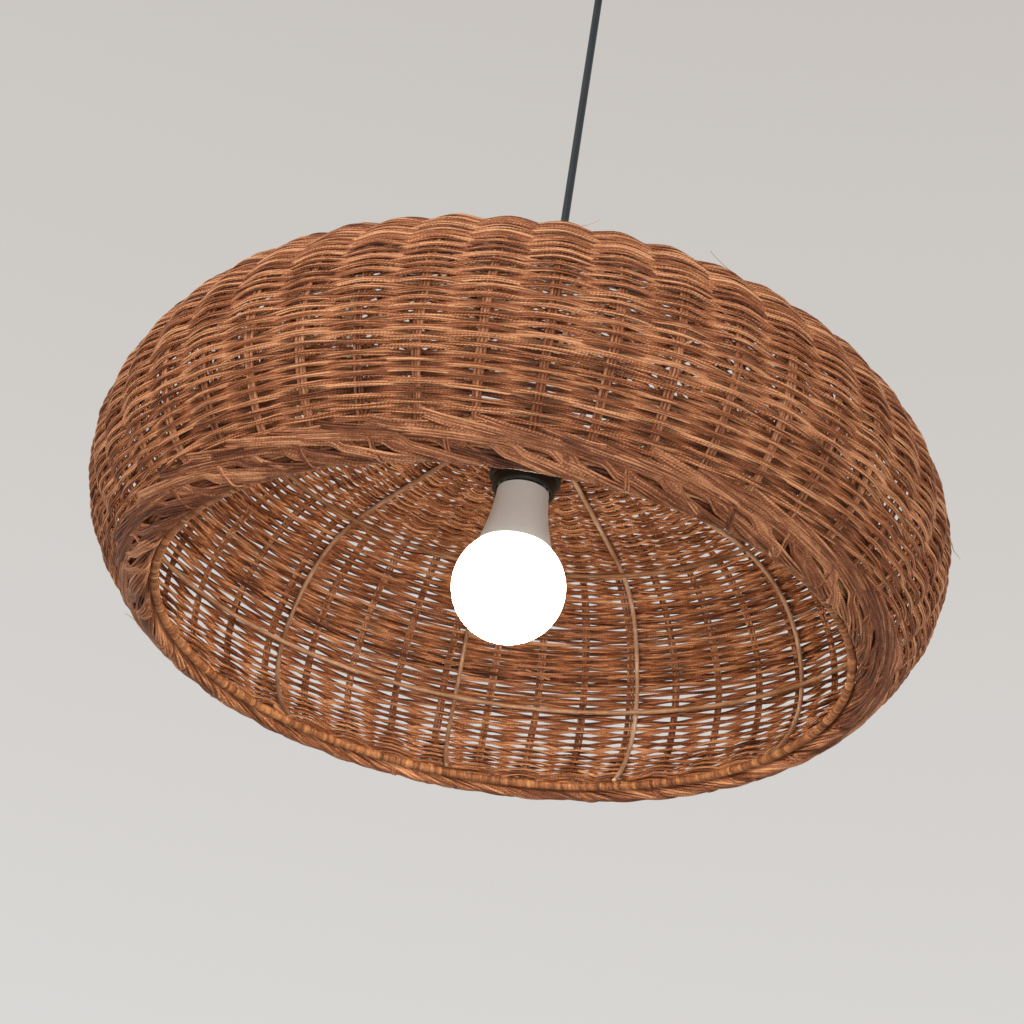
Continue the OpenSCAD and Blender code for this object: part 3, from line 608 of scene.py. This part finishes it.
WIRE_R = (RIM_HI.z - RIM_LO.z) / 2
DRAWN_R = WIRE_R * 0.9                           # the wires read a little thinner than 3 mm
RIB_IN = WALL + WIRE_R + 0.1 * MM
RIB_PHASE = math.radians(24.2)                   # from +Y towards +X
RIB_LOW_S = (math.radians(-52) - LOW_A) * LOW_R
CROWN_RING_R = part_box("crown_ring")[1].x - WIRE_R
RIB_TOP_S = LOW_LEN + UP_LEN + (CROWN_R0 - CROWN_RING_R) / math.sin(CROWN_A) - 2.5 * MM
RIBS = 12
rib_s = np.linspace(RIB_LOW_S, RIB_TOP_S, 110)
for k in range(RIBS):
    angle = math.pi / 2 - RIB_PHASE - k * TAU / RIBS
    drift = 0.7 * MM * np.sin(rib_s * 24 + 1.9 * k) + 0.3 * MM * np.sin(rib_s * 71 + k)
    p, nrm = on_shell(angle + drift / MEAN_R, rib_s, RIB_IN)
    rib = tubes(f"rib_wire_{k + 1}", [p], DRAWN_R, "shade", wire_mat, sides=10,
                ref=np.array([nrm]))
    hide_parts(f"rib_{k + 1}")
for name in ("lower_hoop", "upper_hoop"):
    lo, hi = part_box(name)
    mid_r, mid_z = hi.x - WIRE_R, (lo.z + hi.z) / 2
    hoop = tubes(f"{name}_wire", ring_paths([mid_r], [mid_z], 200), DRAWN_R, "shade", hoop_mat,
                 closed=True, sides=10)
    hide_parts(name)

# ---------- stray fibres and cut ends ----------

FIBRES, FIBRE_POINTS = 46, 14
fibre_paths = []
for k in range(FIBRES):
    s0 = rng.uniform(0.02, 0.8) * LENGTH
    t0 = TAU * rng.rand()
    t = np.linspace(0, 1, FIBRE_POINTS)
    length = rng.uniform(8, 22) * MM
    r0 = outline(s0)[0]
    heading = rng.uniform(-0.5, 0.5)
    rise = rng.uniform(1.0, 5.5) * MM
    s = s0 + length * t * math.sin(heading) + 2 * MM * np.sin(3 * t + k)
    theta = t0 + np.sign(rng.randn()) * length * t * math.cos(heading) / r0
    fibre_paths.append(on_shell(theta, s, -0.3 * MM - rise * t ** 1.6)[0])
fibre_size = np.linspace(0.2, 0.09, FIBRE_POINTS)[None] * MM * np.ones((FIBRES, 1))
tubes("stray_fibres", fibre_paths, fibre_size, "shade", weave_mat, sides=4)

CUTS_LOW, CUTS_HIGH = 40, 20                     # ends cut off inside, near the rim and higher up
cut_paths = []
for k in range(CUTS_LOW + CUTS_HIGH):
    s0 = rng.uniform(4, 26) * MM if k < CUTS_LOW else rng.uniform(30, 120) * MM
    t0 = TAU * rng.rand()
    t = np.linspace(0, 1, 8)
    length = rng.uniform(9, 19) * MM
    heading = rng.uniform(-0.5, 0.5)
    theta = t0 + np.sign(rng.randn()) * length * t * math.cos(heading) / MEAN_R
    depth = WALL - 0.4 * MM + rng.uniform(0.6, 2.6) * MM * t
    cut_paths.append(on_shell(theta, s0 + length * t * math.sin(heading), depth)[0])
tubes("cut_ends_inside", cut_paths, rng.uniform(0.7, 1.0, (len(cut_paths), 1)) * MM, "shade",
      weave_mat, tone=rng.uniform(0.45, 1.0, len(cut_paths)))

# ---------- finishes of the CAD nodes that show as they are ----------

finishes = {
    "zinc_steel": smooth_material("zinc_steel_sheet", (0.60, 0.61, 0.63), 0.38, 1.0, grain=500.0, wear=0.10,
                                  brushed=(1, 0.08, 1)),
    "nylon_natural": smooth_material("nylon_block", (0.80, 0.78, 0.69), 0.5),
    "brass": smooth_material("brass_turned", (0.78, 0.57, 0.25), 0.3, 1.0, brushed=(0.1, 1, 1)),
    "black_paint": smooth_material("black_powder_paint", (0.018, 0.019, 0.021), 0.46, grain=1500.0, bump=0.35,
                                   wear=0.2),
    "black_plastic": smooth_material("black_moulded_plastic", (0.010, 0.011, 0.008), 0.38, grain=1200.0,
                                     bump=0.2, wear=0.2, specular=0.3),
    "cord_sheath": sheath_mat,
    "core_brown": smooth_material("core_brown_pvc", (0.20, 0.07, 0.03), 0.3),
    "core_blue": smooth_material("core_blue_pvc", (0.03, 0.12, 0.5), 0.3),
    "porcelain": smooth_material("porcelain_glaze", (0.86, 0.85, 0.81), 0.15, wear=0.04, coat=0.5),
    "frame_wire": wire_mat,
    "cane_wrap": wrap_mat,
    "rattan_border": border_mat,
    "rattan_weave": weave_mat,
    "collar_plastic": smooth_material("collar_moulded_plastic", (0.86, 0.95, 1.00), 0.42, grain=900.0,
                                      bump=0.08, wear=0.03),
    "aluminium": smooth_material("aluminium_pressed", (0.75, 0.75, 0.76), 0.35, 1.0),
    "nickel_cap": smooth_material("nickel_cap_shell", (0.72, 0.71, 0.68), 0.24, 1.0),
    "black_glass": smooth_material("black_glass_insulator", (0.02, 0.02, 0.025), 0.1),
    "board_white": smooth_material("board_white_mask", (0.85, 0.85, 0.83), 0.4),
    "led_phosphor": smooth_material("led_phosphor_domes", (0.85, 0.72, 0.22), 0.3),
    "board_green": smooth_material("board_green_mask", (0.03, 0.2, 0.09), 0.35),
    "components": smooth_material("component_bodies", (0.1, 0.1, 0.11), 0.4),
}

BULB_LIGHT, NECK_LIGHT = 44.0, 11.0              # brightest at the foot of the globe, faint at its neck
glow = Nodes("bulb_diffuser_lit")
glow_place = glow.add("ShaderNodeTexCoord").outputs["Object"]
cloud = glow.noise(glow_place, 30.0, 2.0)
glow.link(glow.ramp(cloud, [(0.3, (0.93, 0.91, 0.86)), (0.7, (0.96, 0.94, 0.90))]),
          glow.shader.inputs["Base Color"])
glow.shader.inputs["Roughness"].default_value = 0.55
glow.shader.inputs["Emission Color"].default_value = (1.0, 0.88, 0.66, 1)
glow_split = glow.add("ShaderNodeSeparateXYZ")
glow.link(glow_place, glow_split.inputs[0])
GLOBE_LO, GLOBE_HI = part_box("bulb_diffuser")
fade = glow.add("ShaderNodeMapRange", interpolation_type="SMOOTHSTEP")
glow.link(glow_split.outputs["Z"], fade.inputs["Value"])
for socket, value in (("From Min", GLOBE_LO.z), ("From Max", GLOBE_HI.z),
                      ("To Min", BULB_LIGHT), ("To Max", NECK_LIGHT)):
    fade.inputs[socket].default_value = value
glow.link(fade.outputs["Result"], glow.shader.inputs["Emission Strength"])
finishes["diffuser"] = glow.mat

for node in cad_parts.values():
    for held in node.material_slots:
        key = held.material.name.split(".")[0] if held.material else ""
        if key in finishes:
            held.material = finishes[key]

# ---------- cores between the bracket's terminals and the canopy, as smooth-shaded copies ---

for name in ("live_core_top", "neutral_core_top"):
    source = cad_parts[name]
    core = bpy.data.objects.new(name + "_wire", source.data.copy())
    bpy.context.collection.objects.link(core)
    for poly in core.data.polygons:
        poly.use_smooth = True
    lo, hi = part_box(name)
    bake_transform(core)
    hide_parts(name)

# ---------- surroundings ----------

scene = bpy.context.scene
scene.view_settings.view_transform = "Standard"
world = bpy.data.worlds.new("pale_room")
scene.world = world
world.use_nodes = True
sky = world.node_tree.nodes
where = sky.new("ShaderNodeTexCoord")
sky_split = sky.new("ShaderNodeSeparateXYZ")
shade_of_wall = sky.new("ShaderNodeValToRGB")
WALL_SHADES = ((0.25, (0.70, 0.685, 0.67)), (0.70, (0.58, 0.55, 0.52)), (0.95, (0.42, 0.405, 0.39)))
shade_of_wall.color_ramp.elements.new(0.5)
for element, (up, colour) in zip(shade_of_wall.color_ramp.elements, WALL_SHADES):
    element.position, element.color = up, (*colour, 1)
for a, b in ((where.outputs["Generated"], sky_split.inputs[0]),
             (sky_split.outputs["Z"], shade_of_wall.inputs[0]),
             (shade_of_wall.outputs["Color"], sky["Background"].inputs["Color"])):
    world.node_tree.links.new(a, b)
sky["Background"].inputs["Strength"].default_value = 1.0

FLOOR_Z, FLOOR_R, FLOOR_SIDES = -2.6, 14.0, 96
floor_me = bpy.data.meshes.new("floor")
floor_turns = [TAU * k / FLOOR_SIDES for k in range(FLOOR_SIDES)]
floor_me.from_pydata([(FLOOR_R * math.cos(a), FLOOR_R * math.sin(a), FLOOR_Z) for a in floor_turns], [],
                     [list(range(FLOOR_SIDES))])
floor = bpy.data.objects.new("floor", floor_me)
bpy.context.collection.objects.link(floor)
floor_mat = smooth_material("floor_pale", (0.72, 0.70, 0.67), 0.7, grain=6.0, wear=0.02, bump=0.0)
floor_me.materials.append(floor_mat)


def area_light(name, place, aim, size, power, colour=(1, 1, 1)):
    data = bpy.data.lights.new(name, "AREA")
    data.shape, data.size, data.energy, data.color = "DISK", size, power, colour
    lamp = bpy.data.objects.new(name, data)
    bpy.context.collection.objects.link(lamp)
    lamp.location = place
    lamp.rotation_mode = "QUATERNION"
    lamp.rotation_quaternion = (Vector(aim) - Vector(place)).to_track_quat("-Z", "Y")


MIDDLE = (0, 0, RIM_Z + 0.08)
area_light("key_soft", (-1.5, -1.8, 0.0), MIDDLE, 1.6, 25.0, (1.0, 0.97, 0.94))
area_light("low_soft", (0.35, -2.1, -1.5), MIDDLE, 1.3, 20.0, (1.0, 0.98, 0.96))
area_light("back_soft", (0.3, 2.2, 0.6), MIDDLE, 1.8, 4.0)
